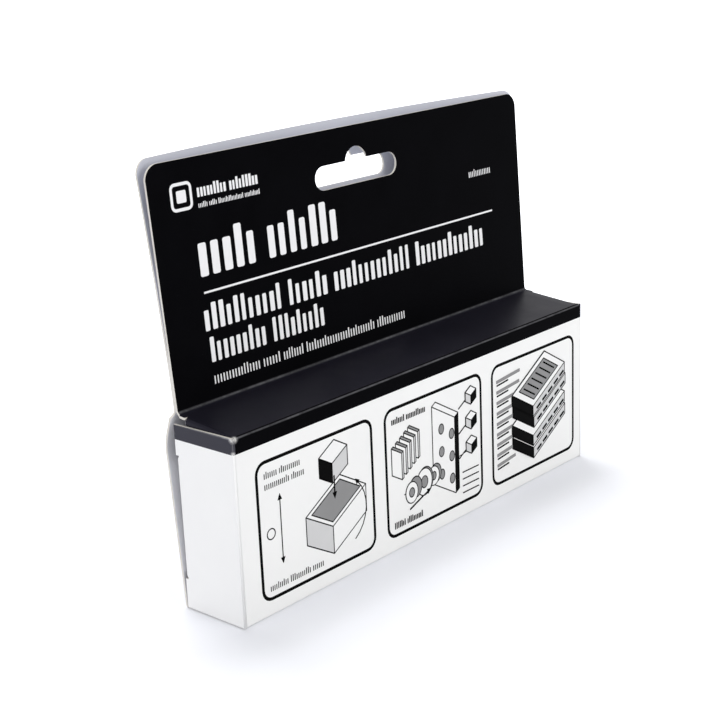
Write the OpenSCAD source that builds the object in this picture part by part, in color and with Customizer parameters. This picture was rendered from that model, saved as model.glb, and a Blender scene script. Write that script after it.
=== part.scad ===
// Hang tab carton of folded paperboard.
// One printed sheet is folded into a flat box with a tall double header that hangs
// from a peg through a slot. Each end is closed by a hinged flap, whose tongue tucks
// in along the back panel between two slit-lock shoulders.
// X runs along the carton's width, -Y is its front and +Z is up. The origin is the
// centre of the base.

/* [Carton body] */
// Width of the carton over its two end flaps
body_w = 143; // [110:1:190]
// Depth of the carton at its base, front face to back face
body_d = 20.6; // [16:0.2:36]
// Height of the front panel
body_h = 48; // [42:1:80]
// Thickness of the paperboard
board = 0.6; // [0.4:0.05:0.8]
// Inside radius of the sharp folds
fold_r = 0.3; // [0.2:0.05:0.5]
// Inside radius of the soft fold between the top panel and the header
header_fold_r = 1.2; // [0.6:0.1:2]
// Rise of the top panel from its front edge to its back edge
top_rise = 2; // [0:0.25:3]
// Outward bulge of the back panel just below the header
back_bulge = 3; // [0.5:0.25:4]
// Height of the black printed band below the top edge
band_h = 4; // [2:0.5:8]

/* [Header] */
// Height of the header's front layer above the top panel's back edge
header_h = 59; // [45:1:80]
// Lean of the header towards the back, in degrees
header_lean = 3.8; // [0:0.2:6]
// Inset of the header's sides from the carton's ends, at the fold
header_inset = 1.2; // [1:0.1:4]
// Outward slant of each header side, from the fold to the top
side_slant = 1.1; // [0:0.1:1.5]
// Radius of the header's top corners
header_corner_r = 4.5; // [2:0.5:10]
// Height of the glued strip that joins the two header layers
glue_h = 9; // [6:1:14]
// Extra height of the header's back layer
back_extra = 1; // [0:0.25:3]
// Gap between the two layers at the top of the left side
layer_gap = 2.2; // [0:0.2:4]
// Extra gap at the middle of the top, where the back layer bows out
layer_bow = 5.2; // [0:0.2:8]

/* [Hang slot] */
// Length of the slot
slot_w = 32; // [24:1:40]
// Height of the slot at its ends
slot_h = 6.2; // [4:0.2:8]
// Radius of the rounded peg seat above the slot
seat_r = 4.3; // [3:0.1:5]
// Rise of the peg seat above the slot
seat_rise = 3.4; // [2:0.1:4]
// Distance of the slot's centre line below the header's top edge
slot_drop = 12; // [10:0.5:16]

/* [End flaps] */
// Height of each slit-lock shoulder, at the top and the bottom of a flap
shoulder_h = 8; // [5:0.5:12]
// Gap of the slit between a shoulder and the tongue
slit_gap = 0.5; // [0.3:0.1:1]
// Length of the tongue, measured along its curve
tongue_l = 13; // [9:0.5:15]
// Radius of the tongue's free corners
tongue_corner_r = 6; // [2:0.5:8]
// Gap between a flap and the panels around it
flap_clear = 0.15; // [0.1:0.05:0.25]
// Length of each dust flap
dust_l = 15; // [8:1:18]
// Length of the cut at the back of a dust flap's fold
dust_relief = 3.5; // [2:0.5:5]
// Gap between a dust flap and the front panel
dust_clear = 0.4; // [0.2:0.1:1]
// Slant of a dust flap's back edge
dust_taper = 3; // [0:0.5:5]
// Radius of a dust flap's free corners
dust_corner_r = 2; // [1:0.5:4]

/* [Hidden] */

ink = "#17171a";
stock = "#f4f4f0";

// Steps in a fold and in a wide curve
fold_steps = 6;
curve_steps = 10;
// Overlap that makes one solid of two, and reach of a cut past a face
bite = 0.15;
past = 1;

// Middle of the board in each panel of the section, as depth and height
fold_mid = fold_r + board / 2;
front_y = -body_d / 2 + board / 2;
back_y = body_d / 2 - board / 2;
base_z = board / 2;
top_front_z = body_h - board / 2;
top_back_z = top_front_z + top_rise;
glue_film = 0.05;
layer_pitch = (board + glue_film) / cos(header_lean);
header_y = back_y - board - glue_film;
top_slope = atan(top_rise / (header_y - front_y));

// The back panel swings out to its bulge and returns at the neck
bulge_z = 0.88 * body_h;
bulge_r = 14;
neck_rise = 1;
neck_z = top_back_z + neck_rise;
neck_r = 5;

// Heights along the header
header_top = top_back_z + header_h;
back_top = header_top + back_extra;
glue_top = top_back_z + glue_h;
glue_start = 0.5;
glue_low = neck_z + glue_start;
sheet_low = glue_top - glue_h / 3;
slot_z = header_top - slot_drop;
print_z = body_h - band_h;

// Ends of the panels that the flaps close
end_x = body_w / 2 - board - flap_clear;
back_in = body_d / 2 - board;
hinge_x = -body_w / 2 + board / 2;
hinge_y = front_y;
tongue_out = back_in - flap_clear - hinge_y;
tongue_mid = tongue_out - board / 2;
flap_low = 2 * flap_clear;

function unit(v) = v / norm(v);
function left_of(d) = [-d[1], d[0]];
function spun(v, a) = [v[0] * cos(a) - v[1] * sin(a), v[0] * sin(a) + v[1] * cos(a)];
function turn(a, b) = atan2(a[0] * b[1] - a[1] * b[0], a * b);

// Points round one corner of a bent line, each with the normal to its left
function bend(before, at, after, r, steps) =
    let (
        d = unit(at - before),
        a = turn(d, unit(after - at)),
        side = sign(a),
        start = at - d * r * tan(abs(a) / 2),
        centre = start + side * r * left_of(d)
    )
    [for (i = [0:steps]) let (n = spun(left_of(d), a * i / steps)) [centre - side * r * n, n]];

// Outline of a strip of board that follows such points
function strip(path) = concat(
    [for (q = path) q[0] + q[1] * board / 2],
    [for (i = [len(path) - 1:-1:0]) path[i][0] - path[i][1] * board / 2]
);

function only_points(path) = [for (q = path) q[0]];

// Depth of the header's front layer, middle of the board, at a height
function header_at(z) = header_y + tan(header_lean) * (z - top_back_z);
// Height of the top panel's outer face at a depth
function top_face(y) = top_front_z + board / 2 / cos(top_slope) + tan(top_slope) * (y - front_y);

// The sheet's section: header, top, front, base, back and neck, in that order
section_top = [header_at(header_top), header_top];
section_fold = [header_y, top_back_z];
section_brow = [front_y, top_front_z];
section_toe = [front_y, base_z];
section_heel = [back_y, base_z];
section_bulge = [back_y + back_bulge, bulge_z];
section_neck = [header_at(neck_z) + layer_pitch, neck_z];
section_end = [header_at(glue_top) + layer_pitch, glue_top];

sheet_path = concat(
    [[section_top, left_of(unit(section_fold - section_top))]],
    bend(section_top, section_fold, section_brow, header_fold_r + board / 2, fold_steps),
    bend(section_fold, section_brow, section_toe, fold_mid, fold_steps),
    bend(section_brow, section_toe, section_heel, fold_mid, fold_steps),
    bend(section_toe, section_heel, section_bulge, fold_mid, fold_steps),
    bend(section_heel, section_bulge, section_neck, bulge_r, curve_steps),
    bend(section_bulge, section_neck, section_end, neck_r, curve_steps),
    [[section_end, left_of(unit(section_end - section_neck))]]
);

// Strip of glue between the header's two layers, in the sheet's section
module glue_section() {
    reach = board / 2 + glue_film / 2;
    low = header_at(glue_low) + reach;
    high = header_at(glue_top) + reach;
    polygon([[low - bite, glue_low], [low + bite, glue_low], [high + bite, glue_top], [high - bite, glue_top]]);
}

// Turns a section of depth and height into a solid along the carton's width
module along_width(w) {
    translate([-w / 2, 0, 0])
        rotate([90, 0, 90])
            linear_extrude(w)
                children();
}

// Turns an outline of width and height into a solid through the carton's depth
module through_depth(near, far) {
    translate([0, far, 0])
        rotate([90, 0, 0])
            linear_extrude(far - near)
                children();
}

// Front view of the header, with rounded top corners
module header_outline(low, high) {
    foot = body_w / 2 - header_inset;
    head = foot + side_slant;
    polygon(only_points(concat(
        [[[-foot, low]]],
        bend([-foot, low], [-head, high], [head, high], header_corner_r, curve_steps),
        bend([-head, high], [head, high], [foot, low], header_corner_r, curve_steps),
        [[[foot, low]]]
    )));
}

// The bent sheet, trimmed to the body's and the header's outlines
module folded_sheet() {
    intersection() {
        along_width(body_w) {
            polygon(strip(sheet_path));
            glue_section();
        }
        through_depth(-body_d, 2 * body_d) {
            translate([-body_w / 2, 0])
                square([body_w, top_back_z]);
            header_outline(top_back_z - past, header_top);
        }
    }
}

// Gap between the header layers, from the glue to the top, bowed across the width
function layer_lift(x, z) =
    let (
        u = 2 * x / body_w,
        s = max(0, (z - glue_top) / (back_top - glue_top))
    )
    (layer_gap * (1 - u) / 2 + layer_bow * (1 - u * u)) * pow(s, 1.4);

bow_cols = 28;
bow_rows = 14;
function sheet_x(i) = -body_w / 2 - past + (body_w + 2 * past) * i / bow_cols;
function sheet_z(j) = sheet_low + (back_top + past - sheet_low) * j / bow_rows;
function sheet_y(i, j) = header_at(sheet_z(j)) + layer_pitch - glue_film / 2 + layer_lift(sheet_x(i), sheet_z(j));

// Back layer of the header, a thin sheet that leaves the front layer above the glue
module back_layer() {
    rows = bow_rows + 1;
    face = (bow_cols + 1) * rows;
    pts = [for (side = [-1, 1]) for (i = [0:bow_cols]) for (j = [0:bow_rows])
        [sheet_x(i), sheet_y(i, j) + side * board / 2, sheet_z(j)]];
    front = [for (i = [0:bow_cols - 1]) for (j = [0:bow_rows - 1]) let (a = i * rows + j)
        each [[a, a + 1, a + rows + 1], [a, a + rows + 1, a + rows]]];
    rear = [for (f = front) [f[2] + face, f[1] + face, f[0] + face]];
    foot_and_head = [for (i = [0:bow_cols - 1]) let (a = i * rows, b = a + bow_rows)
        each [[a, a + rows, a + rows + face], [a, a + rows + face, a + face],
              [b, b + face, b + rows + face], [b, b + rows + face, b + rows]]];
    sides = [for (j = [0:bow_rows - 1]) let (b = bow_cols * rows + j)
        each [[j, j + face, j + 1 + face], [j, j + 1 + face, j + 1],
              [b, b + 1, b + 1 + face], [b, b + 1 + face, b + face]]];
    intersection() {
        polyhedron(points = pts, faces = concat(front, rear, foot_and_head, sides), convexity = 4);
        through_depth(0, 2 * body_d)
            header_outline(sheet_low - past, back_top);
    }
}

// Hang slot with its peg seat, punched through both layers
module hang_slot() {
    through_depth(0, 2 * body_d)
        translate([0, slot_z]) {
            end = slot_w / 2 - slot_h / 2;
            square([2 * end, slot_h], center = true);
            for (side = [-1, 1])
                translate([side * end, 0])
                    circle(r = slot_h / 2, $fn = 32);
            translate([0, slot_h / 2 + seat_rise - seat_r])
                circle(r = seat_r, $fn = 48);
        }
}

// A dust flap in the plane of its end, from the middle of its panel's board to its free edge
module dust_flap(root_front, root_back, free) {
    near = front_y + board / 2 + dust_clear;
    far = back_in - dust_relief;
    a = [near, root_front];
    b = [far, root_back];
    c = [far - dust_taper, free];
    d = [near, free];
    along_width(2 * end_x)
        polygon(concat(
            [a, b],
            only_points(bend(b, c, d, dust_corner_r, fold_steps)),
            only_points(bend(c, d, a, dust_corner_r, fold_steps))
        ));
}

module dust_flaps() {
    near = front_y + board / 2 + dust_clear;
    far = back_in - dust_relief;
    difference() {
        union() {
            dust_flap(top_face(near) - board / 2, top_face(far) - board / 2, body_h - dust_l);
            dust_flap(base_z, base_z, dust_l);
        }
        translate([-end_x + board, -body_d, -body_h])
            cube([2 * (end_x - board), 2 * body_d, 3 * body_h]);
    }
}

// Cuts an outer edge round, with the edge on the Y axis and the board at -X and -Z
module round_edge(run) {
    r = fold_r + board;
    difference() {
        translate([-r, 0, -r])
            cube([r + past, run, r + past]);
        translate([-r, -past, -r])
            rotate([-90, 0, 0])
                cylinder(r = r, h = run + 2 * past, $fn = 32);
    }
}

module dust_fold_rounds() {
    near = front_y + (board + dust_clear) / 2;
    run = back_in - dust_relief - near;
    for (side = [0, 1])
        mirror([side, 0, 0]) {
            translate([end_x, near, top_face(near)])
                rotate([top_slope, 0, 0])
                    round_edge(run / cos(top_slope));
            translate([end_x, near, 0])
                mirror([0, 0, 1])
                    round_edge(run);
        }
}

// Trims every panel but the back one, to leave room for the end flaps
module end_room() {
    for (side = [0, 1])
        mirror([side, 0, 0])
            translate([end_x, -body_d, -past])
                cube([board + flap_clear + past, body_d + back_in - flap_clear, top_back_z + 2 * past]);
}

module carton_board() {
    difference() {
        union() {
            folded_sheet();
            back_layer();
            dust_flaps();
        }
        hang_slot();
        end_room();
        dust_fold_rounds();
    }
}

// Space above the line where the black print starts
module black_zone() {
    translate([-body_w, -2 * body_d, print_z])
        cube([2 * body_w, 5 * body_d, back_top]);
}

// One board in its two colours, white stock below the line and black ink above it
module printed() {
    color(stock)
        difference() {
            children();
            black_zone();
        }
    color(ink)
        intersection() {
            children();
            black_zone();
        }
}

module carton() {
    printed()
        carton_board();
}

// Section of a flap from its hinge to the tongue's tip. The tongue is bent round the
// hinge's axis, so that it leaves the carton along its own curve.
module tongue_section() {
    fold_y = sqrt(pow(tongue_mid - fold_mid, 2) - pow(fold_mid, 2));
    lead = atan2(fold_y, fold_mid);
    tip = lead - tongue_l / tongue_mid * 180 / PI;
    path = concat(
        [[[0, 0], [-1, 0]]],
        [for (i = [0:fold_steps]) let (a = 180 + (lead - 180) * i / fold_steps, n = [cos(a), sin(a)])
            [[fold_mid, fold_y] + fold_mid * n, n]],
        [for (i = [1:curve_steps]) let (a = lead + (tip - lead) * i / curve_steps, n = [cos(a), sin(a)])
            [tongue_mid * n, n]]
    );
    polygon(strip(path));
}

module tongue_outline(low, high) {
    fold_y = sqrt(pow(tongue_mid - fold_mid, 2) - pow(fold_mid, 2));
    tip = atan2(fold_y, fold_mid) - tongue_l / tongue_mid * 180 / PI;
    reach = tongue_out * cos(tip);
    polygon(concat(
        [[-past, low]],
        only_points(bend([-past, low], [reach, low], [reach, high], tongue_corner_r, curve_steps)),
        only_points(bend([reach, low], [reach, high], [-past, high], tongue_corner_r, curve_steps)),
        [[-past, high]]
    ));
}

module flap_board() {
    low = shoulder_h + slit_gap;
    high = body_h - shoulder_h - slit_gap;
    fold_y = tongue_mid - 2 * fold_mid;
    translate([hinge_x, hinge_y, 0]) {
        translate([0, 0, flap_low])
            cylinder(r = board / 2, h = body_h - flap_low, $fn = 24);
        translate([-board / 2, 0, flap_low])
            cube([board, fold_y, body_h - flap_low]);
        for (z = [flap_low, body_h - shoulder_h])
            translate([-board / 2, fold_y - bite, z])
                cube([board, tongue_out - fold_y + bite, shoulder_h - (z == flap_low ? flap_low : 0)]);
        intersection() {
            translate([0, 0, low])
                linear_extrude(high - low)
                    tongue_section();
            through_depth(-body_d, 2 * body_d)
                tongue_outline(low, high);
        }
    }
}

module left_end_flap() {
    printed()
        flap_board();
}

module right_end_flap() {
    mirror([1, 0, 0])
        left_end_flap();
}

carton();
left_end_flap();
right_end_flap();
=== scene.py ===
"""Looks of the hang tab carton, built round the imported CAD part.

The carton is one printed board that is cut flat, folded along its creases and closed at
each end by a hinged flap. Every board here is cut flat with its thickness, and then each
of its points is carried to its folded place. All lengths are in metres.
"""

import logging
import math
import random
from bisect import bisect_right
from collections.abc import Callable, Iterable, Sequence
from dataclasses import dataclass, field
from enum import Enum, IntEnum

import bmesh
import bpy
from mathutils import Matrix, Vector


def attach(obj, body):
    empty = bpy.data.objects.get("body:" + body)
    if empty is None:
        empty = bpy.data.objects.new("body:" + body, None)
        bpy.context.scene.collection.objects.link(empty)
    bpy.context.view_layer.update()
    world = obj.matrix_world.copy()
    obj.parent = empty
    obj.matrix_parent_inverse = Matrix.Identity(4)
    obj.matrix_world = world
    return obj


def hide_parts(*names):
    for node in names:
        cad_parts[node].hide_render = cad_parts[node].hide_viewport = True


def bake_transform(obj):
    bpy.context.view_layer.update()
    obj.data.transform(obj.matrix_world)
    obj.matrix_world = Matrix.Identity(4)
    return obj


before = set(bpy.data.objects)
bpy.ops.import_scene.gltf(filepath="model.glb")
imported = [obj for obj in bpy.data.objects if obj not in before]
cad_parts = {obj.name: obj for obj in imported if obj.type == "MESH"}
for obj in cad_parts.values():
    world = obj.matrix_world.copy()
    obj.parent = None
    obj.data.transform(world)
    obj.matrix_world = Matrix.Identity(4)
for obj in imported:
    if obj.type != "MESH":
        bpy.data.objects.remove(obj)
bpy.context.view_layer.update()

logging.basicConfig(level=logging.INFO, format="%(message)s")
log = logging.getLogger("carton")

MM = 0.001
# Lengths that count as nothing: when welding, when comparing and when touching
WELD, TINY, TOUCH = 2e-6, 1e-6, 1e-7
# A little over two, so that the rounds of a narrow bar never meet
OVER_TWO = 2.001
# Steps of a tight fold and of the corner of a printed bar
FOLD_STEPS, BAR_STEPS = 6, 5
# Slope over which a flat face looks up or down, and angle over which an edge stays sharp
FACING, CREASE = 0.5, 0.6

Ring = list[tuple[float, float]]
Placing = Callable[[float, float, float], Vector]
Line = tuple[tuple[int, float], tuple[int, float], float]
Spot = tuple[tuple[float, float, float], float]
Colour = tuple[float, float, float, float]


class Side(IntEnum):
    """Material slots of a folded board."""

    WHITE = 0
    INK = 1
    INNER = 2
    EDGE = 3
    # The top panel's black print, painted lighter and bluer as a sheen.
    TOP_INK_SHEEN = 4

    @property
    def layer(self) -> str:
        """The face of the board that the slot is on."""
        return {Side.INNER: "inner", Side.EDGE: "edge"}.get(self, "printed")


class End(Enum):
    """The carton's two ends, by the sign of X."""

    LEFT = -1
    RIGHT = 1


# Outlines


def mm(*values: float) -> tuple[float, ...]:
    """Turns millimetres into metres."""
    return tuple(value * MM for value in values)


def fillet(
    before: Vector, at: Vector, after: Vector, radius: float, steps: int
) -> list[tuple[Vector, Vector]]:
    """Rounds one corner of a bent line.

    Args:
        before: Point before the corner.
        at: The corner.
        after: Point after the corner.
        radius: Radius of the round.
        steps: Number of straight steps in the round.

    Returns:
        The points of the round, each with the normal to the line's left.
    """
    ahead = (at - before).normalized()
    away = (after - at).normalized()
    turn = math.atan2(ahead.x * away.y - ahead.y * away.x, ahead.dot(away))
    side = math.copysign(1.0, turn)
    left = Vector((-ahead.y, ahead.x))
    centre = at - ahead * radius * math.tan(abs(turn) / 2) + left * side * radius
    found = []
    for i in range(steps + 1):
        normal = Matrix.Rotation(turn * i / steps, 2) @ left
        found.append((centre - normal * side * radius, normal))
    return found


def rounded_ring(corners: Sequence[tuple[float, float, float]], steps: int) -> Ring:
    """Rounds the corners of a closed outline.

    Args:
        corners: Each corner as x, y and the radius of its round.
        steps: Number of steps in each round.

    Returns:
        The outline's points in the same order.
    """
    ring: Ring = []
    count = len(corners)
    for i, (x, y, radius) in enumerate(corners):
        at = Vector((x, y))
        if radius <= 0:
            ring.append((x, y))
            continue
        before = Vector(corners[i - 1][:2])
        after = Vector(corners[(i + 1) % count][:2])
        ring += [tuple(p) for p, _ in fillet(before, at, after, radius, steps)]
    return ring


def bar_ring(x0: float, x1: float, z0: float, z1: float, radius: float) -> Ring:
    """Outline of an upright bar, its corners' radius cut back where the bar is narrow."""
    r = min(radius, (x1 - x0) / OVER_TWO, (z1 - z0) / OVER_TWO)
    return rounded_ring([(x0, z0, r), (x1, z0, r), (x1, z1, r), (x0, z1, r)], BAR_STEPS)


def arc(x: float, y: float, radius: float, start: float, sweep: float, steps: int) -> Ring:
    """Points on a part of a circle round x and y, both its ends included."""
    turns = [start + sweep * i / steps for i in range(steps + 1)]
    return [(x + radius * math.cos(a), y + radius * math.sin(a)) for a in turns]


@dataclass
class Section:
    """The middle line of a folded board, seen along its folds.

    Attributes:
        points: Points on the line.
        outward: Unit normals towards the printed face.
        starts: Index of the point at which each straight part starts.
        runs: Distance of each point along the line.
    """

    points: list[Vector]
    outward: list[Vector]
    starts: list[int] = field(default_factory=list)
    runs: list[float] = field(init=False)

    def __post_init__(self) -> None:
        """Measures the line."""
        self.runs = [0.0]
        for a, b in zip(self.points, self.points[1:]):
            self.runs.append(self.runs[-1] + (b - a).length)

    @classmethod
    def folded(cls, corners: Sequence[tuple[float, float, float, int]]) -> "Section":
        """Makes a line from its corners, printed on its right-hand side.

        Args:
            corners: Each corner as two coordinates, the fold's radius and its steps.

        Returns:
            The section.
        """
        ends = [Vector(corners[0][:2]), Vector(corners[-1][:2])]
        first = (Vector(corners[1][:2]) - ends[0]).normalized()
        last = (ends[1] - Vector(corners[-2][:2])).normalized()
        pairs = [(ends[0], Vector((-first.y, first.x)))]
        starts = [0]
        for before, at, after in zip(corners, corners[1:], corners[2:]):
            pairs += fillet(
                Vector(before[:2]), Vector(at[:2]), Vector(after[:2]), at[2], at[3]
            )
            starts.append(len(pairs) - 1)
        pairs.append((ends[1], Vector((-last.y, last.x))))
        return cls([p for p, _ in pairs], [-n for _, n in pairs], starts)

    def at(self, run: float) -> tuple[Vector, Vector]:
        """Finds a point on the line.

        Args:
            run: Its distance along the line.

        Returns:
            The point and the outward normal there.
        """
        i = min(max(bisect_right(self.runs, run) - 1, 0), len(self.runs) - 2)
        share = (run - self.runs[i]) / (self.runs[i + 1] - self.runs[i])
        point = self.points[i].lerp(self.points[i + 1], share)
        normal = self.outward[i].lerp(self.outward[i + 1], min(max(share, 0.0), 1.0))
        return point, normal.normalized()

    def straight(self, first: int, run: float) -> tuple[Vector, Vector]:
        """Finds a point on one straight part, drawn out past both its ends.

        Args:
            first: Index of the point at which the part starts.
            run: Distance along the line.

        Returns:
            The point and the part's outward normal.
        """
        length = self.runs[first + 1] - self.runs[first]
        share = (run - self.runs[first]) / length
        return self.points[first].lerp(self.points[first + 1], share), self.outward[first]

    def rows(self, longest: float) -> list[float]:
        """Finds the distances at which a board is divided.

        Args:
            longest: Longest step between two of them.

        Returns:
            The distances in order, both ends included.
        """
        found = list(self.runs)
        for a, b in zip(self.runs, self.runs[1:]):
            parts = max(1, math.ceil((b - a) / longest))
            found += [a + (b - a) * i / parts for i in range(1, parts)]
        return sorted(found)


# Board making


def ring_edges(
    mesh: bmesh.types.BMesh, ring: Ring, level: float = 0.0
) -> list[bmesh.types.BMEdge]:
    """Adds a closed outline to a flat mesh at a level, and gives its edges."""
    verts = [mesh.verts.new((x, y, level)) for x, y in ring]
    return [mesh.edges.new(pair) for pair in zip(verts, verts[1:] + verts[:1])]


def points_of(grown: Sequence[object]) -> list[bmesh.types.BMVert]:
    """Picks the points out of what an operator made."""
    return [v for v in grown if isinstance(v, bmesh.types.BMVert)]


def divide(mesh: bmesh.types.BMesh, values: Iterable[float], axis: int) -> None:
    """Cuts a flat mesh along parallel lines.

    Args:
        mesh: The flat mesh.
        values: Places of the lines.
        axis: 0 for lines of equal x, 1 for lines of equal y.
    """
    normal = Vector((1, 0, 0)) if axis == 0 else Vector((0, 1, 0))
    for value in values:
        whole = mesh.verts[:] + mesh.edges[:] + mesh.faces[:]
        bmesh.ops.bisect_plane(
            mesh, geom=whole, dist=WELD, plane_co=normal * value, plane_no=normal
        )


def square_up(mesh: bmesh.types.BMesh) -> None:
    """Takes slanting edges out of a flat mesh's inside, so that its cells are squares.

    Args:
        mesh: The flat mesh.
    """
    slanting = [
        e
        for e in mesh.edges
        if len(e.link_faces) == 2
        and min(abs(c) for c in (e.verts[0].co - e.verts[1].co)[:2]) > TINY
    ]
    bmesh.ops.dissolve_edges(mesh, edges=slanting, use_verts=False)
    spare = [v for v in mesh.verts if len(v.link_edges) == 2 and not v.is_boundary]
    bmesh.ops.dissolve_verts(mesh, verts=spare)


def new_piece(
    name: str, mesh: bmesh.types.BMesh, materials: Sequence[bpy.types.Material]
) -> bpy.types.Object:
    """Makes a scene object of a finished mesh, at the origin.

    Args:
        name: Name of the piece.
        mesh: The mesh, which is freed.
        materials: Materials in the order of the mesh's slots.

    Returns:
        The object.
    """
    if mesh.calc_volume(signed=True) < 0:
        bmesh.ops.reverse_faces(mesh, faces=mesh.faces[:])
    mesh.normal_update()
    data = bpy.data.meshes.new(name)
    mesh.to_mesh(data)
    mesh.free()
    for material in materials:
        data.materials.append(material)
    piece = bpy.data.objects.new(name, data)
    bpy.context.scene.collection.objects.link(piece)
    return piece


@dataclass(frozen=True)
class Blank:
    """A board as it is cut, before it is folded.

    Attributes:
        rings: The outline, and then the outlines of its holes.
        columns: Lines of equal x that divide it.
        rows: Lines of equal y that divide it.
        thickness: Thickness of the board.
        printed: Says which print the outer face has at x and y.
    """

    rings: list[Ring]
    columns: list[float]
    rows: list[float]
    thickness: float
    printed: Callable[[float, float], Side]

    def fold(self, place: Placing) -> bmesh.types.BMesh:
        """Cuts the board, gives it its thickness and carries each point to its place.

        Args:
            place: Gives the folded place of x, y and the height over the middle.

        Returns:
            The folded board, with its material slots set.
        """
        mesh = bmesh.new()
        edges = [e for ring in self.rings for e in ring_edges(mesh, ring)]
        bmesh.ops.triangle_fill(
            mesh, use_beauty=True, use_dissolve=False, edges=edges, normal=(0, 0, 1)
        )
        divide(mesh, self.rows, 1)
        divide(mesh, self.columns, 0)
        square_up(mesh)
        raised = set(points_of(bmesh.ops.extrude_face_region(mesh, geom=mesh.faces[:])["geom"]))
        half = self.thickness / 2
        for v in mesh.verts:
            v.co.z = half if v in raised else -half
        bmesh.ops.recalc_face_normals(mesh, faces=mesh.faces[:])
        for face in mesh.faces:
            middle = face.calc_center_median()
            if face.normal.z > FACING:
                face.material_index = self.printed(middle.x, middle.y)
            else:
                face.material_index = Side.INNER if face.normal.z < -FACING else Side.EDGE
            face.smooth = True
        for v in mesh.verts:
            v.co = place(*v.co)
        mesh.normal_update()
        for edge in mesh.edges:
            layers = {Side(f.material_index).layer for f in edge.link_faces}
            if len(layers) > 1 or edge.calc_face_angle(0.0) > CREASE:
                edge.smooth = False
        return mesh


# Finishes


@dataclass
class Nodes:
    """A short way to lay out the nodes of one material.

    Attributes:
        material: The material or world that is being made.
    """

    material: bpy.types.Material | bpy.types.World

    def add(self, kind: str, settings: dict | None = None, **inputs: object) -> bpy.types.Node:
        """Adds a node.

        Args:
            kind: Blender's name of the node type.
            settings: Settings of the node itself.
            inputs: Values or sockets for its inputs, each by its name with _ for a space,
                or by i and its number.

        Returns:
            The node.
        """
        node = self.material.node_tree.nodes.new(kind)
        for key, value in (settings or {}).items():
            setattr(node, key, value)
        for key, value in inputs.items():
            numbered = key[0] == "i" and key[1:].isdigit()
            self.feed(node.inputs[int(key[1:]) if numbered else key.replace("_", " ")], value)
        return node

    def feed(self, socket: bpy.types.NodeSocket, value: object) -> None:
        """Gives an input its value.

        Args:
            socket: The input.
            value: A value, or another node's output.
        """
        if isinstance(value, bpy.types.NodeSocket):
            self.material.node_tree.links.new(value, socket)
        else:
            socket.default_value = value

    def place(self) -> bpy.types.NodeSocket:
        """The object's own coordinates."""
        return self.add("ShaderNodeTexCoord").outputs["Object"]

    def seen(self) -> bpy.types.NodeSocket:
        """Tells what is seen from what only lights the carton.

        Returns:
            1 for what the camera sees, also by a gloss or through glass, and 0 for light.
        """
        rays = self.add("ShaderNodeLightPath").outputs
        gloss = self.math("MAXIMUM", rays["Is Glossy Ray"], rays["Is Transmission Ray"])
        return self.math("MAXIMUM", rays["Is Camera Ray"], gloss)

    def noise(self, scale: float, detail: float = 3.0, rough: float = 0.5) -> bpy.types.NodeSocket:
        """Cloudy noise from 0 to 1, its scale the number of clouds in a metre."""
        return self.add("ShaderNodeTexNoise", Vector=self.place(), Scale=scale, Detail=detail,
                        Roughness=rough).outputs[0]

    def math(self, operation: str, a: object, b: object = 0.0) -> bpy.types.NodeSocket:
        """One step of arithmetic."""
        return self.add("ShaderNodeMath", {"operation": operation}, i0=a, i1=b).outputs[0]

    def vector(
        self, operation: str, a: object, b: object = (0.0, 0.0, 0.0)
    ) -> bpy.types.NodeSocket:
        """One step of vector arithmetic."""
        outputs = self.add("ShaderNodeVectorMath", {"operation": operation}, i0=a, i1=b).outputs
        return outputs["Value" if operation in ("DISTANCE", "LENGTH") else "Vector"]

    def ranged(self, value: object, span: tuple[float, float],
               to: tuple[float, float] = (0.0, 1.0)) -> bpy.types.NodeSocket:
        """Maps a value from one range to another, held within it."""
        return self.add("ShaderNodeMapRange", {"clamp": True}, Value=value, From_Min=span[0],
                        From_Max=span[1], To_Min=to[0], To_Max=to[1]).outputs[0]

    def mixed(self, share: object, a: object, b: object) -> bpy.types.NodeSocket:
        """Mixes two colours, the share being how much of the second there is."""
        return self.add("ShaderNodeMix", {"data_type": "RGBA"}, i0=share, i6=a, i7=b).outputs[2]

    def bumped(self, layers: Sequence[tuple[bpy.types.NodeSocket, float]]) -> bpy.types.NodeSocket:
        """Raises a surface by several heights.

        Args:
            layers: Each height from 0 to 1, with how far it lifts in metres.

        Returns:
            The normal.
        """
        normal = None
        for height, distance in layers:
            node = self.add("ShaderNodeBump", Height=height, Distance=distance, Strength=1.0)
            if normal is not None:
                self.feed(node.inputs["Normal"], normal)
            normal = node.outputs[0]
        return normal

    def strongest(self, masks: Sequence[bpy.types.NodeSocket]) -> bpy.types.NodeSocket:
        """Joins masks into one.

        Args:
            masks: The masks.

        Returns:
            The highest of them at each point.
        """
        total = masks[0]
        for mask in masks[1:]:
            total = self.math("MAXIMUM", total, mask)
        return total

    def near(self, lines: Sequence[Line], core: float = 0.15) -> bpy.types.NodeSocket:
        """Mask round straight lines that run along one axis.

        Args:
            lines: Each line as two fixed coordinates, as axis and value, and a radius.
            core: Share of the radius in which the mask is full.

        Returns:
            1 on a line, falling to 0 at its radius.
        """
        parts = self.add("ShaderNodeSeparateXYZ", Vector=self.place()).outputs
        masks = []
        for first, second, radius in lines:
            squares = [
                self.math("POWER", self.math("SUBTRACT", parts[axis], value), 2.0)
                for axis, value in (first, second)
            ]
            gap = self.math("SQRT", self.math("ADD", *squares))
            masks.append(self.ranged(gap, (radius, radius * core)))
        return self.strongest(masks)

    def spots(self, points: Sequence[Spot], core: float = 0.3) -> bpy.types.NodeSocket:
        """Mask round single points.

        Args:
            points: Each point with its radius.
            core: Share of the radius in which the mask is full.

        Returns:
            1 at a point, falling to 0 at its radius.
        """
        masks = []
        for point, radius in points:
            gap = self.vector("DISTANCE", self.place(), point)
            masks.append(self.ranged(gap, (radius, radius * core)))
        return self.strongest(masks)


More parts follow.
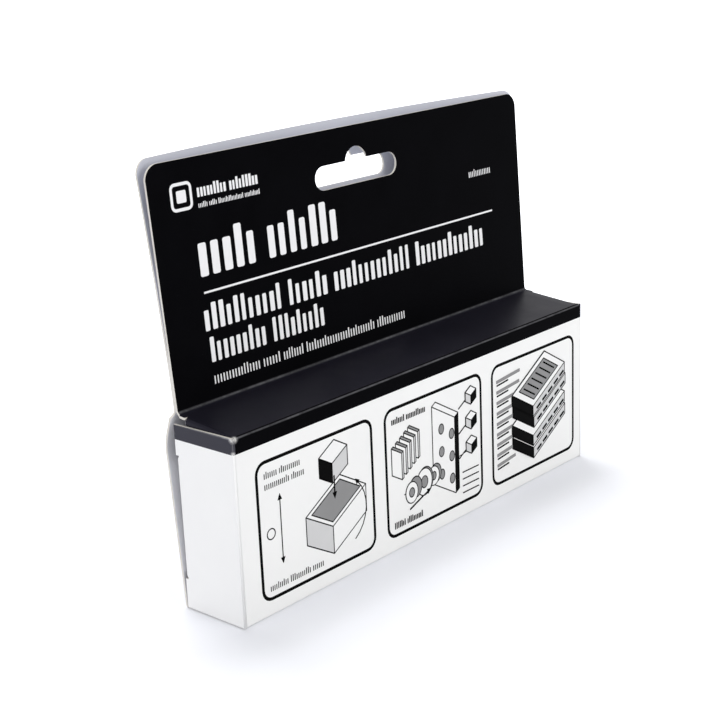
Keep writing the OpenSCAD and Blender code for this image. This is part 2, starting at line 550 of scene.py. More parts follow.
def grey(value: float, blue: float = 0.0) -> Colour:
    """A grey colour, with a little more blue where asked."""
    return (value, value, value + blue, 1.0)


@dataclass(frozen=True)
class Finish:
    """A finish with fibres, cloudy tone, and marked places: rubbed places on the print, painted
    shade on the inner board.

    Attributes:
        name: Name of the material.
        colour: Main colour.
        other: Colour of its cloudy parts.
        rough: Lowest and highest roughness.
        gloss: Specular level.
        fibre: Height of its fibres.
        wave: Height of its slow unevenness.
        grain: Number of fibres in a metre.
        clouds: Number of cloudy parts in a metre.
        waves: Number of slow waves in a metre.
        speck: How much of the other colour single fibres have.
        wear_and_shade_rough: Roughness that the marked places add.
        wear_and_shade_deep: How far the marked places go into the surface.
        tint: Tint of its gloss.
    """

    # Middle part of a noise that is drawn out to the full range, for tone, fibres and sheen
    TONE, FIBRES, SHEEN = (0.3, 0.7), (0.35, 0.65), (0.25, 0.75)

    name: str
    colour: Colour
    other: Colour
    rough: tuple[float, float]
    gloss: float
    fibre: float = 3e-6
    wave: float = 3e-5
    grain: float = 3500.0
    clouds: float = 70.0
    waves: float = 28.0
    speck: float = 0.35
    wear_and_shade_rough: float = 0.25
    wear_and_shade_deep: float = 2e-5
    tint: Colour = (1.0, 1.0, 1.0, 1.0)

    def wear_and_shade(self, nodes: Nodes) -> tuple[bpy.types.NodeSocket, object] | None:
        """Mask and colour of the marked places, rubbed or with painted shade, or None where there
        are none.
        """
        return None

    def make(self) -> bpy.types.Material:
        """Makes the material.

        Returns:
            The material.
        """
        material = bpy.data.materials.new(self.name)
        material.use_nodes = True
        nodes = Nodes(material)
        clouds = nodes.noise(self.clouds, detail=4.0, rough=0.6)
        fibres = nodes.noise(self.grain, rough=0.65)
        colour = nodes.mixed(nodes.ranged(clouds, self.TONE), self.colour, self.other)
        speck = nodes.ranged(fibres, self.FIBRES, (0.0, self.speck))
        colour = nodes.mixed(speck, colour, self.other)
        rough = nodes.ranged(clouds, self.SHEEN, self.rough)
        waves = nodes.noise(self.waves, detail=2.0, rough=0.4)
        layers = [(waves, self.wave), (fibres, self.fibre)]
        # The marked places: rubbed print, or on the inner board a painted shade that greys it
        # towards the top.
        found = self.wear_and_shade(nodes)
        if found is not None:
            wear_and_shade, wear_and_shade_colour = found
            colour = nodes.mixed(wear_and_shade, colour, wear_and_shade_colour)
            rough = nodes.math("ADD", rough, nodes.math("MULTIPLY", wear_and_shade, self.wear_and_shade_rough))
            layers.append((nodes.math("SUBTRACT", 1.0, wear_and_shade), self.wear_and_shade_deep))
        sockets = material.node_tree.nodes["Principled BSDF"].inputs
        nodes.feed(sockets["Base Color"], colour)
        nodes.feed(sockets["Roughness"], rough)
        nodes.feed(sockets["Normal"], nodes.bumped(layers))
        sockets["Specular IOR Level"].default_value = self.gloss
        sockets["Specular Tint"].default_value = self.tint
        return material


@dataclass(frozen=True)
class WornInk(Finish):
    """Black print that has rubbed off along creases and at knocked corners.

    Attributes:
        creases: Lines along the carton's width, as depth, height and radius.
        uprights: Upright lines, as x, depth and radius.
        rims: Lines along the carton's depth, as x, height and radius.
        knocks: Points with their radius.
        wear_and_shade_colour: Colour of the rubbed creases.
        torn: Colour of the bare board at the knocked points.
        patches: Number of patches in a metre in which the creases are rubbed.
        rubbed: Least and most that they are rubbed.
        tatters: Number of tatters in a metre at the knocked points.
        bared: Least and most of the bare board that shows there.
    """

    creases: tuple[tuple[float, float, float], ...] = ()
    uprights: tuple[tuple[float, float, float], ...] = ()
    rims: tuple[tuple[float, float, float], ...] = ()
    knocks: tuple[Spot, ...] = ()
    wear_and_shade_colour: Colour = grey(0.17, 0.012)
    torn: Colour = (0.74, 0.73, 0.70, 1.0)
    patches: float = 160.0
    rubbed: tuple[float, float] = (0.2, 0.8)
    tatters: float = 1500.0
    bared: tuple[float, float] = (0.35, 1.0)

    def wear_and_shade(self, nodes: Nodes) -> tuple[bpy.types.NodeSocket, object]:
        """Finds the rubbed creases and the knocked corners.

        Args:
            nodes: The material's nodes.

        Returns:
            Their mask and their colour.
        """
        lines = [((1, y), (2, z), r) for y, z, r in self.creases]
        lines += [((0, x), (1, y), r) for x, y, r in self.uprights]
        lines += [((0, x), (2, z), r) for x, z, r in self.rims]
        patches = nodes.noise(self.patches, detail=5.0, rough=0.7)
        patchy = nodes.ranged(patches, (0.34, 0.66), self.rubbed)
        rubbed = nodes.math("MULTIPLY", nodes.near(lines), patchy)
        tatters = nodes.noise(self.tatters, rough=0.6)
        ragged = nodes.ranged(tatters, (0.3, 0.5), self.bared)
        knocked = nodes.math("MULTIPLY", nodes.spots(self.knocks), ragged)
        return nodes.math("MAXIMUM", rubbed, knocked), nodes.mixed(knocked, self.wear_and_shade_colour, self.torn)


@dataclass(frozen=True)
class ShadedInnerBoard(Finish):
    """Unprinted board, greyer towards the top with a painted shade, between the header's two
    layers.

    Attributes:
        painted_shade: Colour of the painted shade.
        shade_starts: Height at which the painted shade starts.
        shade_full: Height over which it is even.
    """

    painted_shade: Colour = (0.60, 0.61, 0.67, 1.0)
    shade_starts: float = 60 * MM
    shade_full: float = 98 * MM

    def wear_and_shade(self, nodes: Nodes) -> tuple[bpy.types.NodeSocket, object]:
        """Mask and colour of the painted shade."""
        height = nodes.add("ShaderNodeSeparateXYZ", Vector=nodes.place()).outputs[2]
        return nodes.ranged(height, (self.shade_starts, self.shade_full)), self.painted_shade


# The folded carton


@dataclass
class CartonBoard:
    """The one board of the carton, from the header's front layer round to its back layer.

    The radius of each fold is taken at the middle of the board.

    Attributes:
        width: Width of the carton.
        depth: Depth of the carton.
        height: Height of the front panel.
        thickness: Thickness of the board.
        fold: Radius of a tight fold.
        header_fold: Radius of the fold at the header's foot.
        header_steps: Steps of that fold.
        top_print_steps: Steps of that fold that carry the top panel's print.
        top_rise: How much higher the top panel is at the back.
        bulge: How far the back panel bulges out.
        bulge_at: Share of the height at which it bulges most.
        bulge_radius: Radius of the bulge.
        bulge_steps: Steps of the bulge.
        neck_rise: Height of the back panel's neck over the top panel.
        neck_radius: Radius of the neck.
        neck_steps: Steps of the neck.
        band: Height of the black band round the carton's top.
        header: Height of the header's front layer over the top panel.
        back_extra: How much higher the header's back layer is.
        lean: Angle by which the header leans back.
        inset: How far the header's foot stands in at each side.
        slant: How far each of its sides leans out again.
        corner: Radius of its corners.
        corner_steps: Steps of a corner.
        side_ease: How far a side stands in where a corner starts.
        foot_up: How far over the top panel a side has its foot.
        step_out: Length of the step from the base panel to the back panel's full width.
        neck_under: How far under the neck that full width ends.
        neck_over: How far over the neck the back layer has its foot.
        glue: Height of the glued strip between the layers.
        glue_film: Gap between the layers in that strip.
        layer_gap: Gap between the layers at the left end of the top edge.
        layer_bow: How far the back layer bows out in the middle.
        bow_power: How late the bow sets in over the height.
        flap_clear: Gap between an end flap and the panels.
        slot_width: Length of the hang slot.
        slot_height: Height of the hang slot.
        slot_steps: Steps of each of its round ends.
        seat_radius: Radius of its peg seat.
        seat_rise: Height of the seat over the slot.
        seat_steps: Steps of the seat.
        slot_drop: How far the slot lies under the header's top edge.
        dust_length: Length of a dust flap.
        dust_clear: Gap between a dust flap and the front panel.
        dust_relief: Gap between a dust flap and the back panel's inner face.
        dust_taper: How much narrower a dust flap gets.
        dust_corner: Radius of its corners.
        dust_steps: Steps of a corner.
        dust_column: How far past its fold a dust flap is divided once more.
        slit: Width of the slit beside its root.
        slack: How far a dust flap may widen past its root, for each length from it.
        panels: Number of strips into which the width is divided.
        row_step: Longest step between the lines that divide the board.
    """

    width: float = 143 * MM
    depth: float = 20.6 * MM
    height: float = 48 * MM
    thickness: float = 0.6 * MM
    fold: float = 0.6 * MM
    header_fold: float = 1.5 * MM
    header_steps: int = 8
    top_print_steps: int = 3
    top_rise: float = 2 * MM
    bulge: float = 3 * MM
    bulge_at: float = 0.88
    bulge_radius: float = 14 * MM
    bulge_steps: int = 12
    neck_rise: float = 1 * MM
    neck_radius: float = 5 * MM
    neck_steps: int = 10
    band: float = 4 * MM
    header: float = 59 * MM
    back_extra: float = 1 * MM
    lean: float = math.radians(3.8)
    inset: float = 1.2 * MM
    slant: float = 1.1 * MM
    corner: float = 4.1 * MM
    corner_steps: int = 9
    side_ease: float = 0.1 * MM
    foot_up: float = 0.6 * MM
    step_out: float = 0.05 * MM
    neck_under: float = 0.9 * MM
    neck_over: float = 0.2 * MM
    glue: float = 9 * MM
    glue_film: float = 0.05 * MM
    layer_gap: float = 2.2 * MM
    layer_bow: float = 5.2 * MM
    bow_power: float = 1.4
    flap_clear: float = 0.15 * MM
    slot_width: float = 32 * MM
    slot_height: float = 6.2 * MM
    slot_steps: int = 12
    seat_radius: float = 4.3 * MM
    seat_rise: float = 3.4 * MM
    seat_steps: int = 16
    slot_drop: float = 12 * MM
    dust_length: float = 15 * MM
    dust_clear: float = 0.4 * MM
    dust_relief: float = 3.5 * MM
    dust_taper: float = 3 * MM
    dust_corner: float = 2 * MM
    dust_steps: int = 6
    dust_column: float = 7 * MM
    slit: float = 0.2 * MM
    slack: float = 0.15
    panels: int = 28
    row_step: float = 3 * MM

    def __post_init__(self) -> None:
        """Works out the places that follow from the sizes."""
        half = self.thickness / 2
        self.front_y = half - self.depth / 2
        self.back_y = self.depth / 2 - half
        self.top_front = self.height - half
        self.top_back = self.top_front + self.top_rise
        self.header_y = self.back_y - self.thickness - self.glue_film
        self.pitch = (self.thickness + self.glue_film) / math.cos(self.lean)
        self.header_top = self.top_back + self.header
        self.back_top = self.header_top + self.back_extra
        self.glue_top = self.top_back + self.glue
        self.print_z = self.height - self.band
        self.end_x = self.width / 2 - self.thickness - self.flap_clear
        self.tab_root = self.end_x - half - self.fold
        neck = self.top_back + self.neck_rise
        self.section = Section.folded(
            [
                (self.header_at(self.header_top), self.header_top, 0, 0),
                (self.header_y, self.top_back, self.header_fold, self.header_steps),
                (self.front_y, self.top_front, self.fold, FOLD_STEPS),
                (self.front_y, half, self.fold, FOLD_STEPS),
                (self.back_y, half, self.fold, FOLD_STEPS),
                (self.back_y + self.bulge, self.bulge_at * self.height, self.bulge_radius,
                 self.bulge_steps),
                (self.header_at(neck) + self.pitch, neck, self.neck_radius, self.neck_steps),
                (self.header_at(self.back_top) + self.pitch, self.back_top, 0, 0),
            ]
        )
        (self.header_start, self.top_start, self.front_start, self.base_start,
         self.back_start, _, self.layer_start) = self.section.starts
        self.tabs = [self.tab_ring(top) for top in (True, False)]
        self.tab_runs = [(ring[0][1], ring[-1][1]) for ring in self.tabs]

    def header_at(self, z: float) -> float:
        """Depth of the header's front layer at a height."""
        return self.header_y + math.tan(self.lean) * (z - self.top_back)

    def run_to(self, first: int, y: float, z: float) -> float:
        """Distance along the board to a point beside the straight part from first."""
        start, stop = self.section.points[first], self.section.points[first + 1]
        return self.section.runs[first] + (Vector((y, z)) - start).dot((stop - start).normalized())

    def header_run(self, z: float) -> float:
        """Distance along the board to a height on the header's front layer."""
        return self.run_to(self.header_start, self.header_at(z), z)

    def front_run(self, z: float) -> float:
        """Distance along the board to a height on the front panel."""
        return self.run_to(self.front_start, self.front_y, z)

    def layer_run(self, z: float) -> float:
        """Distance along the board to a height on the header's back layer."""
        return self.run_to(self.layer_start, self.header_at(z) + self.pitch, z)

    def back_run(self, z: float) -> float:
        """Finds a height on the back panel, under its bulge.

        Args:
            z: The height.

        Returns:
            The distance along the board.
        """
        first = self.back_start
        start, stop = self.section.points[first], self.section.points[first + 1]
        share = (z - start.y) / (stop.y - start.y)
        return self.section.runs[first] + (stop - start).length * share

    def tab_ring(self, top: bool) -> Ring:
        """Outline of the right-hand dust flap of the top or the base panel, still flat.

        Args:
            top: True for the top panel's flap.

        Returns:
            Its points, from its root to its free edge and back.
        """
        first = self.top_start if top else self.base_start
        start, stop = self.section.points[first], self.section.points[first + 1]
        along = (stop - start).normalized()
        inward = Vector((-along.y, along.x))
        near = self.front_y + self.thickness / 2 + self.dust_clear
        far = self.depth / 2 - self.thickness - self.dust_relief
        free = self.height - self.dust_length if top else self.dust_length
        bend = self.fold * math.pi / 2 - self.fold
        corners = []
        for y, radius in ((far, 0.0), (far - self.dust_taper, self.dust_corner),
                          (near, self.dust_corner), (near, 0.0)):
            if radius:
                offset = Vector((y, free)) - start
                corners.append((self.tab_root + bend + offset.dot(inward),
                                self.section.runs[first] + offset.dot(along), radius))
            else:
                share = (y - start.x) / along.x
                corners.append((self.tab_root, self.section.runs[first] + share, 0.0))
        if not top:
            corners.reverse()
        return rounded_ring(corners, self.dust_steps)

    def side_points(self) -> Ring:
        """Finds the right-hand edge of the blank.

        Returns:
            Its points, from the header's front layer round to its back one.
        """
        wide = self.width / 2
        head = self.width / 2 - self.inset + self.slant
        foot = self.width / 2 - self.inset
        points, runs = self.section.points, self.section.runs
        top, end, corner = runs[self.top_start], runs[-1], self.corner
        turns = [math.pi / 2 * i / self.corner_steps for i in range(1, self.corner_steps)]
        rounded = [(head - corner + corner * math.sin(a), corner * math.cos(a)) for a in turns]
        sides = [(head - corner, 0.0)]
        sides += [(x, corner - rise) for x, rise in rounded]
        sides += [(head - self.side_ease, corner), (foot, top - self.foot_up), (self.end_x, top)]
        for ring, (low, high) in zip(self.tabs, self.tab_runs):
            sides += [(self.end_x, low - self.slit), *ring, (self.end_x, high + self.slit)]
        edge = self.depth / 2 - self.thickness - self.flap_clear
        turn = next(i for i in range(self.base_start + 1, len(runs)) if points[i].x > edge)
        neck = self.layer_run(self.top_back)
        sides += [(self.end_x, runs[turn]), (wide, runs[turn] + self.step_out),
                  (wide, neck - self.neck_under), (foot, neck + self.neck_over)]
        sides.append((head - self.side_ease, end - corner))
        sides += [(x, end - corner + rise) for x, rise in reversed(rounded)]
        sides.append((head - corner, end))
        return sides

    def slot_ring(self, run_of: Callable[[float], float]) -> Ring:
        """Outline of the hang slot with its peg seat.

        Args:
            run_of: Turns a height into a distance along the board.

        Returns:
            The slot's points.
        """
        middle = self.header_top - self.slot_drop
        end = self.slot_width / 2 - self.slot_height / 2
        half = self.slot_height / 2
        centre = half + self.seat_rise - self.seat_radius
        gap = math.sqrt(self.seat_radius**2 - (half - centre) ** 2)
        start = math.atan2(half - centre, gap)
        shape = arc(end, 0.0, half, -math.pi / 2, math.pi, self.slot_steps)
        shape += arc(0.0, centre, self.seat_radius, start, math.pi - 2 * start, self.seat_steps)
        shape += arc(-end, 0.0, half, math.pi / 2, math.pi, self.slot_steps)
        return [(x, run_of(middle + z)) for x, z in shape]

    def lift(self, x: float, z: float) -> float:
        """How far the back layer stands off the front one.

        Args:
            x: Place across the width.
            z: Height.

        Returns:
            The gap that is added between the two layers.
        """
        u = 2 * x / self.width
        s = max(0.0, (z - self.glue_top) / (self.back_top - self.glue_top))
        return (self.layer_gap * (1 - u) / 2 + self.layer_bow * (1 - u * u)) * s**self.bow_power

    def place(self, x: float, run: float, height: float) -> Vector:
        """Folded place of a point of the blank.

        Args:
            x: Place across the width, longer than the panel on a dust flap.
            run: Distance along the board from the header's top edge.
            height: Height over the middle of the board, towards its printed face.

        Returns:
            The point.
        """
        over = abs(x) - self.tab_root
        for first, (low, high) in zip((self.top_start, self.base_start), self.tab_runs):
            if over <= 0 or not low - TOUCH <= run <= high + self.slack * over + TOUCH:
                continue
            at, out = self.section.straight(first, run)
            angle = min(over / self.fold, math.pi / 2)
            reach = max(0.0, over - self.fold * math.pi / 2)
            radius = self.fold + height
            down = self.fold - radius * math.cos(angle) + reach
            flat = at - out * down
            return Vector((math.copysign(self.tab_root + radius * math.sin(angle), x), *flat))
        at, out = self.section.at(run)
        flat = at + out * height
        if run > self.section.runs[self.layer_start]:
            flat.x += self.lift(x, flat.y)
        return Vector((x, *flat))

    def printed(self, x: float, run: float) -> Side:
        """Tells which print the outer face has at a point of the blank.

        Args:
            x: Place across the width.
            run: Distance along the board.

        Returns:
            The print's material slot.
        """
        runs, top = self.section.runs, self.top_start
        # The top panel, and the end of the header's foot fold next to it, take the top print with
        # its painted sheen.
        if runs[top - self.top_print_steps] < run < runs[top + 1]:
            return Side.TOP_INK_SHEEN
        inked = run < self.front_run(self.print_z) or run > self.back_print_run()
        return Side.INK if inked else Side.WHITE

    def back_print_run(self) -> float:
        """Finds where the back panel's print starts.

        Returns:
            The distance along the board.
        """
        first = self.back_start
        points, runs = self.section.points[first:], self.section.runs[first:]
        for a, b, run in zip(points, points[1:], runs):
            if a.y <= self.print_z <= b.y:
                return run + (b - a).length * (self.print_z - a.y) / (b.y - a.y)
        return runs[-1]

    def build(self, materials: Sequence[bpy.types.Material]) -> bpy.types.Object:
        """Cuts and folds the board.

        Args:
            materials: Materials in the order of Side.

        Returns:
            The carton's board.
        """
        right = self.side_points()
        outline = right + [(-x, run) for x, run in reversed(right)]
        bent = self.fold * math.pi / 2
        bends = [self.tab_root + bent * i / FOLD_STEPS for i in range(FOLD_STEPS + 1)]
        bends.append(self.tab_root + bent + self.dust_column)
        columns = [self.width * (i / self.panels - 0.5) for i in range(1, self.panels)]
        columns += bends + [-x for x in bends]
        rows = self.section.rows(self.row_step)
        rows += [self.front_run(self.print_z), self.back_print_run()]
        rows += [r for pair in self.tab_runs for r in pair]
        blank = Blank(
            [outline, self.slot_ring(self.header_run), self.slot_ring(self.layer_run)],
            sorted(columns),
            sorted(set(rows))[1:-1],
            self.thickness,
            self.printed,
        )
        return new_piece("carton_board", blank.fold(self.place), materials)


@dataclass
class EndFlap:
    """One end closure with its two shoulders and its curved tongue.

    Attributes:
        end: Which end of the carton it closes.
        carton: The board that it is hinged to.
        shoulder: Height of each shoulder.
        slit: Width of the slit that frees the tongue from a shoulder.
        slit_rows: Heights between the slits at which the flap is divided.
        tongue: Length of the tongue.
        tongue_corner: Radius of its corners.
        tongue_ease: How far it stands in at its root.
        corner_steps: Steps of a corner.
        bend_steps: Steps of the fold before the tongue.
        curve_steps: Steps of the tongue's curve.
        row_step: Longest step between the lines that divide the flap.
        low: Height of its lower edge.
        root: How far from the hinge it starts.
        skin_share: Thickness of the fold strip, as a share of half the board.
    """

    end: End
    carton: CartonBoard
    shoulder: float = 8 * MM
    slit: float = 0.5 * MM
    slit_rows: tuple[float, ...] = mm(16, 24, 32)
    tongue: float = 13 * MM
    tongue_corner: float = 6 * MM
    tongue_ease: float = 1.5 * MM
    corner_steps: int = 9
    bend_steps: int = 7
    curve_steps: int = 14
    row_step: float = 5 * MM
    low: float = 0.3 * MM
    root: float = 0.1 * MM
    skin_share: float = 0.7

    def __post_init__(self) -> None:
        """Works out the flap's section about its hinge."""
        board = self.carton.thickness
        self.hinge_x = self.end.value * (self.carton.width / 2 - board / 2)
        self.hinge_y = self.carton.front_y
        self.reach = self.carton.depth / 2 - board - self.carton.flap_clear - self.hinge_y
        radius = self.reach - board / 2
        fold = self.carton.fold
        self.fold_run = math.sqrt((radius - fold) ** 2 - fold**2)
        lead = math.atan2(self.fold_run, fold)
        tip = lead - self.tongue / radius
        points = [Vector((0.0, 0.0)), Vector((0.0, self.fold_run))]
        normals = [Vector((-1.0, 0.0)), Vector((-1.0, 0.0))]
        bend, curve = self.bend_steps, self.curve_steps
        for a in [math.pi + (lead - math.pi) * i / bend for i in range(1, bend + 1)]:
            normals.append(Vector((math.cos(a), math.sin(a))))
            points.append(Vector((fold, self.fold_run)) + normals[-1] * fold)
        for a in [lead + (tip - lead) * i / curve for i in range(1, curve + 1)]:
            normals.append(Vector((math.cos(a), math.sin(a))))
            points.append(normals[-1] * radius)
        self.section = Section(points, normals)

    def place(self, run: float, z: float, height: float) -> Vector:
        """Folded place of a point of the flap's blank.

        Args:
            run: Distance from the hinge along the flap.
            z: Height on the flap.
            height: Height over the middle of the board, towards its printed face.

        Returns:
            The point.
        """
        shoulder = z < self.shoulder + TINY or z > self.carton.height - self.shoulder - TINY
        if run > self.fold_run and shoulder:
            at, out = Vector((0.0, run)), Vector((-1.0, 0.0))
        else:
            at, out = self.section.at(run)
        flat = at + out * height
        return Vector((self.hinge_x - self.end.value * flat.x, self.hinge_y + flat.y, z))

    def outline(self) -> Ring:
        """Outline of the flap's blank.

        Returns:
            Its points, from its lower root corner round.
        """
        top = self.carton.height
        fold, tip = self.fold_run, self.section.runs[-1]
        ease = self.tongue_ease
        lower = [
            (self.root, self.low, 0.0),
            (self.reach, self.low, 0.0),
            (self.reach, self.shoulder, 0.0),
            (fold, self.shoulder, 0.0),
            (fold, self.shoulder + self.slit, 0.0),
            (fold + ease, self.shoulder + self.slit + ease, 0.0),
            (tip, self.shoulder + self.slit + ease, self.tongue_corner),
        ]
        upper = [(run, top - z, radius) for run, z, radius in reversed(lower[1:])]
        return rounded_ring([*lower, *upper, (self.root, top, 0.0)], self.corner_steps)

    def build(self, materials: Sequence[bpy.types.Material]) -> bpy.types.Object:
        """Cuts and folds the flap.

        Args:
            materials: Materials in the order of Side.

        Returns:
            The flap's board.
        """
        top, inked = self.carton.height, self.carton.print_z
        slits = [self.shoulder, self.shoulder + self.slit]
        rows = [*slits, *(top - z for z in slits), inked, *self.slit_rows]
        blank = Blank(
            [self.outline()],
            self.section.rows(self.row_step)[1:-1],
            sorted(rows),
            self.carton.thickness,
            lambda run, z: Side.INK if z > inked else Side.WHITE,
        )
        name = f"{self.end.name.lower()}_flap_board"
        return new_piece(name, blank.fold(self.place), materials)

    def fold_strip(self, materials: Sequence[bpy.types.Material]) -> bpy.types.Object:
        """Makes the printed skin that bends round the hinge, from the front panel to the flap.

        Args:
            materials: Materials in the order of Side.

        Returns:
            The skin.
        """
        skin = self.carton.thickness / 2
        sign = self.end.value
        gap = abs(self.hinge_x) - self.carton.end_x
        turns = [-math.pi / 2 * i / FOLD_STEPS for i in range(FOLD_STEPS + 1)]
        profile = [Vector((gap, -skin))]
        profile += [Vector((math.sin(a), -math.cos(a))) * skin for a in turns]
        profile.append(Vector((-skin, self.root)))
        mesh = bmesh.new()
        verts = [mesh.verts.new((self.hinge_x - sign * p.x, self.hinge_y + p.y, self.low))
                 for p in profile]
        line = [mesh.edges.new(pair) for pair in zip(verts, verts[1:])]
        levels = [self.low, self.carton.print_z, self.carton.height]
        for a, b in zip(levels, levels[1:]):
            grown = bmesh.ops.extrude_edge_only(mesh, edges=line)["geom"]
            moved = points_of(grown)
            line = [e for e in grown if isinstance(e, bmesh.types.BMEdge)
                    and all(v in moved for v in e.verts)]
            bmesh.ops.translate(mesh, vec=(0, 0, b - a), verts=moved)
        bmesh.ops.recalc_face_normals(mesh, faces=mesh.faces[:])
        face = mesh.faces[0]
        axis = Vector((self.hinge_x, self.hinge_y, face.calc_center_median().z))
        if face.normal.dot(face.calc_center_median() - axis) < 0:
            bmesh.ops.reverse_faces(mesh, faces=mesh.faces[:])
        for f in mesh.faces:
            inked = f.calc_center_median().z > self.carton.print_z
            f.material_index = Side.INK if inked else Side.WHITE
            f.smooth = True
        bmesh.ops.solidify(mesh, geom=mesh.faces[:], thickness=skin * self.skin_share)
        name = f"{self.end.name.lower()}_fold_strip"
        return new_piece(name, mesh, materials)


# The print


@dataclass(frozen=True)
class BarRow:
    """A row of plain upright bars in groups, in millimetres.

    Attributes:
        lengths: Length of each group.
        x: Where the row starts.
        z: Foot of the row.
        tall: Height of the tallest bar.
        seed: Seed of the bars' heights and widths.
        weight: A bar's share of its pitch.
    """

    # Shares of the tallest bar: pitch, short bar, round of the corners, gap between groups
    PITCH, SHORT, ROUND, GAP = 0.37, 0.76, 0.05, 0.3
    # Share of the bars that are short, and the range of their widths
    SHORT_SHARE, SPREAD = 0.7, (0.88, 1.12)

    lengths: tuple[float, ...]
    x: float
    z: float
    tall: float
    seed: int
    weight: float = 0.42


@dataclass
class Print:
    """Ink laid on a face of the board, as thin raised shapes.

    Attributes:
        name: Name of the piece.
        carton: The board that it lies on.
        run_of: Turns a height on that face into a distance along the board.
        across: -1 on the back, where X runs to the reader's left.
        film: Thickness of the ink.
        level: Height of the next shape over the first ones.
        mesh: The shapes, still flat.
    """

    # How much longer a line is at each end, as a share of half its width
    OVERRUN = 0.6
    # Half width of an arrowhead, and its tip past the line, as shares of its length
    BARB, TIP = 0.45, 0.8
    # Share of the film that is sunk in the board
    SUNK = 0.2

    name: str
    carton: CartonBoard
    run_of: Callable[[float], float]
    across: int = 1
    film: float = 0.02 * MM
    level: float = 0.0
    mesh: bmesh.types.BMesh = field(default_factory=bmesh.new)

    def fill(self, ring: Ring) -> None:
        """Lays a filled shape."""
        edges = ring_edges(self.mesh, ring, self.level)
        bmesh.ops.triangle_fill(self.mesh, use_beauty=True, use_dissolve=True,
                                edges=edges, normal=(0, 0, 1))

    def band(self, outer: Ring, inner: Ring) -> None:
        """Lays the band between two outlines.

        Args:
            outer: The outer outline.
            inner: The inner outline, with as many points.
        """
        edges = ring_edges(self.mesh, outer, self.level)
        edges += ring_edges(self.mesh, inner, self.level)
        bmesh.ops.bridge_loops(self.mesh, edges=edges)

    def frame(self, x0: float, x1: float, z0: float, z1: float, radius: float, line: float) -> None:
        """Lays a rounded frame, measured over the outside of its line."""
        self.band(bar_ring(x0, x1, z0, z1, radius),
                  bar_ring(x0 + line, x1 - line, z0 + line, z1 - line, radius - line))

    def stroke(self, points: Sequence[tuple[float, float]], width: float) -> None:
        """Lays a line through points, with square corners.

        Args:
            points: The points.
            width: Width of the line.
        """
        for a, b in zip(points, points[1:]):
            start, stop = Vector(a), Vector(b)
            ahead = (stop - start).normalized() * (width / 2)
            side = Vector((-ahead.y, ahead.x))
            start, stop = start - ahead * self.OVERRUN, stop + ahead * self.OVERRUN
            self.fill([tuple(p) for p in (start - side, stop - side, stop + side, start + side)])

    def disc(self, x: float, z: float, radius: float, squash: float = 1.0) -> None:
        """Lays a filled round or oval shape."""
        self.fill(oval(x, z, radius, squash))

    def hoop(self, x: float, z: float, radius: float, line: float, squash: float = 1.0) -> None:
        """Lays a round or oval line, its radius measured over its outside."""
        inner = (radius * squash - line) / (radius - line)
        self.band(oval(x, z, radius, squash), oval(x, z, radius - line, inner))

    def arrow(self, points: Sequence[tuple[float, float]], width: float, head: float) -> None:
        """Lays a line that ends in an arrowhead.

        Args:
            points: Points of the line.
            width: Width of the line.
            head: Length of the arrowhead.
        """
        self.stroke(points, width)
        tip, back = Vector(points[-1]), Vector(points[-2])
        ahead = (tip - back).normalized() * head
        side = Vector((-ahead.y, ahead.x)) * self.BARB
        tip = tip + ahead * self.TIP
        self.fill([tuple(tip), tuple(tip - ahead + side), tuple(tip - ahead - side)])

    def words(self, rows: Iterable[BarRow]) -> None:
        """Lays rows of plain upright bars in groups, in place of lines of words.

        Args:
            rows: The rows.
        """
        for row in rows:
            chance = random.Random(row.seed)
            left, foot, tall = mm(row.x, row.z, row.tall)
            for length in mm(*row.lengths):
                count = max(1, round(length / (tall * row.PITCH)))
                step = length / count
                for i in range(count):
                    high = tall * (row.SHORT if chance.random() < row.SHORT_SHARE else 1.0)
                    wide = step * row.weight * chance.uniform(*row.SPREAD)
                    x = left + i * step
                    self.fill(bar_ring(x, x + wide, foot, foot + high, tall * row.ROUND))
                left += length + tall * row.GAP

    def build(self, material: bpy.types.Material) -> bpy.types.Object:
        """Gives the shapes their thickness and lays them on the board.

        Args:
            material: The ink.

        Returns:
            The piece.
        """
        mesh = self.mesh
        raised = set(points_of(bmesh.ops.extrude_face_region(mesh, geom=mesh.faces[:])["geom"]))
        face = self.carton.thickness / 2
        for v in mesh.verts:
            height = face + (v.co.z + self.film if v in raised else -self.SUNK * self.film)
            v.co = self.carton.place(self.across * v.co.x, self.run_of(v.co.y), height)
        bmesh.ops.recalc_face_normals(mesh, faces=mesh.faces[:])
        return new_piece(self.name, mesh, [material])


def oval(x: float, z: float, radius: float, squash: float = 1.0, steps: int = 28) -> Ring:
    """Outline of a circle, or of an oval whose height is its width times the squash."""
    turns = [2 * math.pi * i / steps for i in range(steps)]
    return [(x + radius * math.cos(a), z + radius * squash * math.sin(a)) for a in turns]


